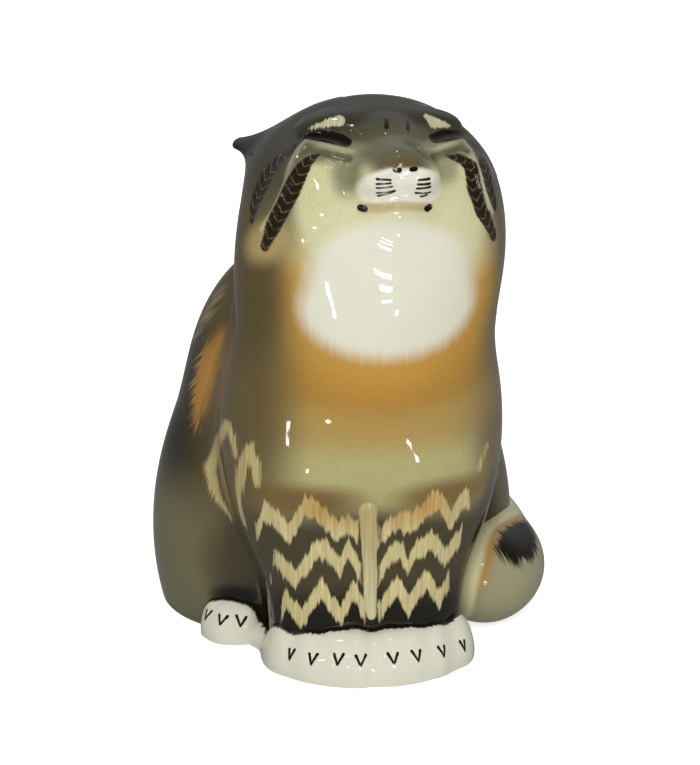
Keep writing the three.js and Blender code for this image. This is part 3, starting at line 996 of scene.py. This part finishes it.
# The ears are flattened cones with round tips, luted to the back of the skull's sides and smoothed into
# it. They are sprayed the dark grey of the crown, darker towards their tips.
EAR_WIDTH = 16
EAR_THICKNESS = 8.4
EAR_HEIGHT = 10.1
EAR_SINK = 10.3
EAR_TIP = 1.9
EAR_FILLET = 7.6
EAR_DARK = (36, 35, 28)
EAR_SHADING = 3
EAR_SKIRT = 40
EAR_LIFT = 0.04
EAR_SEAT = (18, 33)
EAR_LEAN = (42, 16)


def slant(side, turn, rise):
    """A direction turned from the head's side towards its back, and raised."""
    turn = math.radians(turn)
    rise = math.radians(rise)
    return HEAD_TURN @ np.float32((
        side * math.cos(turn) * math.cos(rise),
        math.sin(turn) * math.cos(rise),
        math.sin(rise),
    ))


def ear_form(seat, axis):
    """A flattened cone that melts into the skull, with a skirt of the skull's skin around it."""
    lean = Vector((0, 0, 1)).rotation_difference(Vector(HEAD_TURN.T @ axis)).to_matrix()
    frame = HEAD_TURN @ np.float32(lean)
    flatness = EAR_THICKNESS / EAR_WIDTH
    cone = limb((0, 0, -EAR_SINK), (0, 0, EAR_HEIGHT - EAR_TIP), EAR_WIDTH / 2, EAR_TIP)
    squeeze = np.float32((1, flatness, 1))

    def flattened(points):
        return cone((points - seat) @ frame / squeeze) * flatness

    smoothed = melt(EAR_FILLET, figure, flattened)
    around = lump(seat, (EAR_SKIRT, EAR_SKIRT, EAR_SKIRT))

    def distance(points):
        return np.maximum(smoothed(points), around(points))

    return distance


for side, name in zip(RIGHT_AND_LEFT, ("right_ear", "left_ear")):
    ray = slant(side, *EAR_SEAT)[None, :]
    seat = (HEAD_MIDDLE + ray * reach(figure, HEAD_MIDDLE, ray)[:, None])[0]
    axis = slant(side, *EAR_LEAN)
    form = ear_form(seat, axis)
    ear = drawn_out(name, form, seat, 6, level=EAR_LIFT)
    carve(ear, head_seat)
    smooth_skin(ear, form)
    points = clay_places(ear)
    out = np.clip(figure(points) / EAR_SHADING, 0, 1)[:, None]
    colours = head_colours(points)
    paint_head(ear, colours + out * (np.float32(EAR_DARK) - colours))
    join_to_figure(ear, name)
bpy.data.objects.remove(head_seat)

# The front paws are a low slab of clay, pressed in two halves with four toes each and luted to the
# forelegs. They stay ivory, with black claws, and the legs' black runs onto them in a hairy edge.
PAW_MELT = 4
PAW_RADIUS = 22
SLAB_FRONT = (0.1, -46.1, 0)
SLAB_SIZE = (48, 42, 10.5)
SLAB_TURN = -1
SLAB_TOE = (8.6, 13, 16)
SLAB_TOE_LEAD = 0.8
FRONT_TOES = (-19, -13.9, -8.8, -3.7, 3.7, 8.8, 13.9, 19)
FRONT_CLAWS = (
    (-17.7, 5.4), (-13.4, 5.6), (-8.2, 6.3), (-3.4, 6.2), (3.8, 6.3), (9, 6.2), (14.6, 5.7), (19.2, 4.9),
)
CLAW = {"spread": 1.1, "rise": 1.1, "half_widths": (0.36, 0.252)}
SOCK_BLACK = (30, 28, 17)
SOCK_REACH = 1
SOCK_WETNESS = 3


def paw_form(front, size, turn, toes, toe_size, lead):
    """A low pad with a row of toes along its front edge, which curves back towards the sides."""
    width, length, height = size
    turned = np.float32(Matrix.Rotation(math.radians(turn), 3, "Z"))

    def on_paw(across, back, up):
        return np.float32(front) + turned @ np.float32((across, back, up))

    lumps = [lump(on_paw(0, length / 2, 0), (width, length, 2 * height), turned)]
    for across in toes:
        curve = 1 - math.sqrt(1 - (2 * across / width) ** 2)
        back = (length * curve + toe_size[1]) / 2 - lead
        lumps.append(lump(on_paw(across, back, height - toe_size[2] / 2), toe_size, turned))
    return melt(PAW_MELT, *lumps), on_paw


def claw_marks(form, centre, on_paw, places, size):
    """A V at each claw's place across and up the paw's front, laid on the paw's skin."""
    width, length = size[:2]
    marks = []
    for across, up in places:
        back = length / 2 * (1 - math.sqrt(1 - (2 * across / width) ** 2))
        for lean in RIGHT_AND_LEFT:
            top = on_paw(across + lean * CLAW["spread"], back, up + CLAW["rise"])
            point = on_paw(across, back, up - CLAW["rise"])
            rays = towards(np.float32((top, point)) - centre)
            line = centre + rays * reach(form, centre, rays)[:, None]
            marks.append(np.float32(np.column_stack((line, CLAW["half_widths"]))))
    return marks


def paw_front(rays):
    return (rays[:, 1] < -0.2) & (np.abs(rays[:, 2]) < 0.75)


def claw_band(rays):
    return (rays[:, 1] < -0.2) & (rays[:, 2] > -0.05) & (rays[:, 2] < 0.35)


def finish_paw(paw, form, node, claws, middle):
    smooth_skin(paw, form)
    points = clay_places(paw)
    around = points[:, :2] - middle[:2]
    across = np.arctan2(around[:, 0], -around[:, 1]) * PAW_RADIUS
    comb = np.column_stack((across, np.hypot(*around.T), np.zeros(len(points))))
    paint(
        paw,
        np.tile(IVORY, (len(points), 1)),
        bare=np.full(len(points), -NOT_THERE),
        ink=np.max([traced(points, line)[0] for line in claws], axis=0),
        brush=(SOCK_REACH - figure(points)) * SOCK_WETNESS,
        brush_colour=np.tile(SOCK_BLACK, (len(points), 1)),
        comb=comb,
    )
    join_to_figure(paw, node)


front_middle = np.float32((0.1, -26.5, 3.5))
slab, on_slab = paw_form(SLAB_FRONT, SLAB_SIZE, SLAB_TURN, FRONT_TOES, SLAB_TOE, SLAB_TOE_LEAD)
web = lump((-22, -17.4, 0), (11, 12, 9))
slab = melt(PAW_MELT, slab, web)
slab_claws = claw_marks(slab, front_middle, on_slab, FRONT_CLAWS, SLAB_SIZE)
front_paws = drawn_out("front_paws", slab, front_middle, 6, (paw_front, claw_band, claw_band))
keep_beyond(front_paws, TABLE_TOP, UPWARDS)
slab_seat = front_paws.copy()
slab_seat.data = front_paws.data.copy()
bpy.context.collection.objects.link(slab_seat)
carve(front_paws, body_seat)
for side, node in zip(RIGHT_AND_LEFT, ("right_front_paw", "left_front_paw")):
    paw = front_paws.copy()
    paw.data = front_paws.data.copy()
    paw.name = node
    bpy.context.collection.objects.link(paw)
    keep_beyond(paw, (0, 0, 0), (side, 0, 0))
    finish_paw(paw, slab, node, slab_claws, front_middle)
bpy.data.objects.remove(front_paws)

# The right hind paw is a smaller pad with three toes, luted to the haunch beside the front slab.
# The left one would lie under the tail's tip.
HIND_AZIMUTH = -134
HIND_REACH = 6.5
HIND_SIZE = (15, 22, 8.5)
HIND_TURN = -30
HIND_TOES = (-4.2, 0, 4.2)
HIND_TOE = (6.2, 11, 13.6)
HIND_TOE_LEAD = 0.4
HIND_CLAWS = ((-4.4, 5.2), (-0.2, 5.6), (4, 5.4))
RUMP_MIDDLE = np.float32((-3.2, 9.5, 0))


def beside_rump(azimuth, height, out):
    """A place beside the hindquarters, at an azimuth around them and a distance out from the skin."""
    azimuth = math.radians(azimuth)
    ray = np.float32([(math.cos(azimuth), math.sin(azimuth), 0)])
    middle = RUMP_MIDDLE + np.float32((0, 0, height))
    return middle + ray[0] * (reach(hindquarters, middle, ray)[0] + out)


hind_middle = beside_rump(HIND_AZIMUTH, 2.8, -4.5)
hind_front = beside_rump(HIND_AZIMUTH, 0, HIND_REACH)
hind_form, on_hind = paw_form(hind_front, HIND_SIZE, HIND_TURN, HIND_TOES, HIND_TOE, HIND_TOE_LEAD)
hind_claws = claw_marks(hind_form, hind_middle, on_hind, HIND_CLAWS, HIND_SIZE)
hind_paw = drawn_out("right_hind_paw", hind_form, hind_middle, 6, (paw_front, claw_band))
keep_beyond(hind_paw, TABLE_TOP, UPWARDS)
carve(hind_paw, body_seat)
carve(hind_paw, slab_seat)
bpy.data.objects.remove(slab_seat)
finish_paw(hind_paw, hind_form, "right_hind_paw", hind_claws, hind_middle)

# The tail is pressed solid, laid on the table along the cat's left flank and luted there. It is thick and
# blunt, with dark rings, a cream edge beside the leg that is painted lighter as painted light, and a black
# patch on its tip.
TAIL_THICKNESS = 23.5
TAIL_ROOT = 15
TAIL_SWELL = 55
TAIL_TIP = 14
TAIL_ROOT_ROUND = 6
TAIL_SINK = 0.5
STEPS_PER_BEND = 60
TAIL_LINE = (
    (115, -9), (92, -4), (60, -3), (30, -6), (8, -7.5), (-12, -5.7), (-28, 0.3), (-41, 1.6), (-53, 1.4),
)

stations = np.array([beside_rump(azimuth, TAIL_THICKNESS / 2 - TAIL_SINK, out) for azimuth, out in TAIL_LINE])
bends = np.gradient(stations, axis=0)
part = np.linspace(0, 1, STEPS_PER_BEND)[:, None]
tail_line = np.concatenate([
    (2 * part**3 - 3 * part**2 + 1) * stations[i]
    + (part**3 - 2 * part**2 + part) * bends[i]
    + (3 * part**2 - 2 * part**3) * stations[i + 1]
    + (part**3 - part**2) * bends[i + 1]
    for i in range(len(stations) - 1)
])
tail_run = np.concatenate(([0], np.cumsum(np.linalg.norm(np.diff(tail_line, axis=0), axis=1))))
tail_length = tail_run[-1]


def on_tail_line(run):
    return np.column_stack([np.interp(run, tail_run, tail_line[:, axis]) for axis in range(3)])


bpy.ops.object.select_all(action="DESELECT")
bpy.ops.mesh.primitive_uv_sphere_add(segments=128, ring_count=240, radius=1)
tail = bpy.context.object
tail.name = "tail"
ball = np.zeros(len(tail.data.vertices) * 3, np.float32)
tail.data.vertices.foreach_get("co", ball)
ball = ball.reshape(-1, 3)
run = tail_length * (1 - ball[:, 2]) / 2
spoke = np.arctan2(ball[:, 1], ball[:, 0])
swell = TAIL_ROOT + (TAIL_THICKNESS - TAIL_ROOT) * np.minimum(run / TAIL_SWELL, 1)
blunt = np.maximum(1 - (tail_length - run) / TAIL_TIP, 0)
rounded_root = np.maximum(1 - run / TAIL_ROOT_ROUND, 0)
radius = swell / 2 * np.sqrt(np.maximum((1 - blunt**2) * (1 - rounded_root**2), 0))
ahead = towards(on_tail_line(np.minimum(run + 1, tail_length)) - on_tail_line(np.maximum(run - 1, 0)))
sideways = towards(np.cross(ahead, UPWARDS))
spokes = np.cos(spoke)[:, None] * sideways + np.sin(spoke)[:, None] * np.array(UPWARDS)
move_points(tail, on_tail_line(run) + radius[:, None] * spokes)
keep_beyond(tail, TABLE_TOP, UPWARDS)
carve(tail, body_seat)
bpy.data.objects.remove(body_seat)
bpy.context.view_layer.objects.active = tail
bpy.ops.object.select_all(action="DESELECT")
tail.select_set(True)
bpy.ops.object.shade_smooth_by_angle(angle=math.radians(40))

TAIL_GREY = (160, 156, 124)
TAIL_BLACK = (28, 26, 18)
TAIL_TAN = (176, 142, 86)
TAIL_CREAM_AND_PAINTED_LIGHT = (224, 215, 170)
TAIL_EDGE_WIDTH = 3
TAIL_RING_PITCH = 17
TAIL_PLAIN_TIP = 40
TAIL_RING_FADE = 14
TAIL_TAN_WIDTH = 3
TAIL_TAN_FADE = 2
TAIL_TAN_HEIGHT = (9, 6)
TAIL_BLACK_CLEAR = 1.5
TAIL_WETNESS = 0.6
MARK_STEP = 4
black_patch = lump((36.5, -13, 23.5), (16, 28, 18))


def blended(under, top, cover):
    return under + np.clip(cover, 0, 1)[:, None] * (np.float32(top) - under)


points = clay_places(tail)
marks_along = np.float32(tail_line[::MARK_STEP])
nearest = ((points[:, None, :] - marks_along[None, :, :]) ** 2).sum(axis=2).argmin(axis=1)
heading = np.gradient(marks_along, axis=0)
heading /= np.linalg.norm(heading, axis=1)[:, None]
past_mark = ((points - marks_along[nearest]) * heading[nearest]).sum(axis=1)
along_tail = np.float32(tail_run[::MARK_STEP])[nearest] + past_mark
off_body = figure(points)
ringed = np.clip((tail_length - TAIL_PLAIN_TIP - along_tail) / TAIL_RING_FADE, 0, 1)
rings = 0.5 + 0.5 * np.sin(2 * math.pi * along_tail / TAIL_RING_PITCH)
colours = blended(np.tile(np.float32(TAIL_GREY), (len(points), 1)), TAIL_BLACK, ringed * rings)
tan_cover = (TAIL_EDGE_WIDTH + TAIL_TAN_WIDTH - off_body) / TAIL_TAN_FADE
tan_cover = tan_cover * rising(points[:, 2], TAIL_TAN_HEIGHT)
colours = blended(colours, TAIL_TAN, tan_cover * (1 - ringed))
# the cream edge beside the leg, painted lighter than its own cream as painted light in the crease
colours = blended(colours, TAIL_CREAM_AND_PAINTED_LIGHT, (TAIL_EDGE_WIDTH + 0.6 - off_body) / 1.2 * (1 - ringed))
black_depth = np.minimum(-black_patch(points) * TAIL_WETNESS, off_body - TAIL_EDGE_WIDTH - TAIL_BLACK_CLEAR)
paint(
    tail,
    colours,
    brush=black_depth - 20 * ringed,
    brush_colour=np.tile(TAIL_BLACK, (len(points), 1)),
    comb=np.column_stack((along_tail, points[:, 2], np.zeros(len(points)))),
)
join_to_figure(tail, "tail")

# The base plate closes the body from below. It is bare fired porcelain, matt and ivory, with a fine grain.
BISCUIT = (230, 226, 210)
biscuit = bpy.data.materials.new("biscuit")
biscuit.use_nodes = True
tree = biscuit.node_tree
tree.nodes.clear()
place = wired(tree, "ShaderNodeTexCoord", {}).outputs["Object"]
grain = wired(tree, "ShaderNodeTexNoise", {"Vector": place, "Scale": 1800, "Detail": 3})
rough = wired(tree, "ShaderNodeBump", {"Strength": 0.2, "Distance": 0.0001, "Height": grain.outputs["Fac"]})
porcelain = wired(tree, "ShaderNodeBsdfPrincipled", {
    "Base Color": opaque(BISCUIT),
    "Roughness": 0.8,
    "Normal": rough.outputs["Normal"],
})
wired(tree, "ShaderNodeOutputMaterial", {"Surface": porcelain.outputs[0]})
base_plate = bpy.data.objects["base_plate"]
base_plate.data.materials.clear()
base_plate.data.materials.append(biscuit)
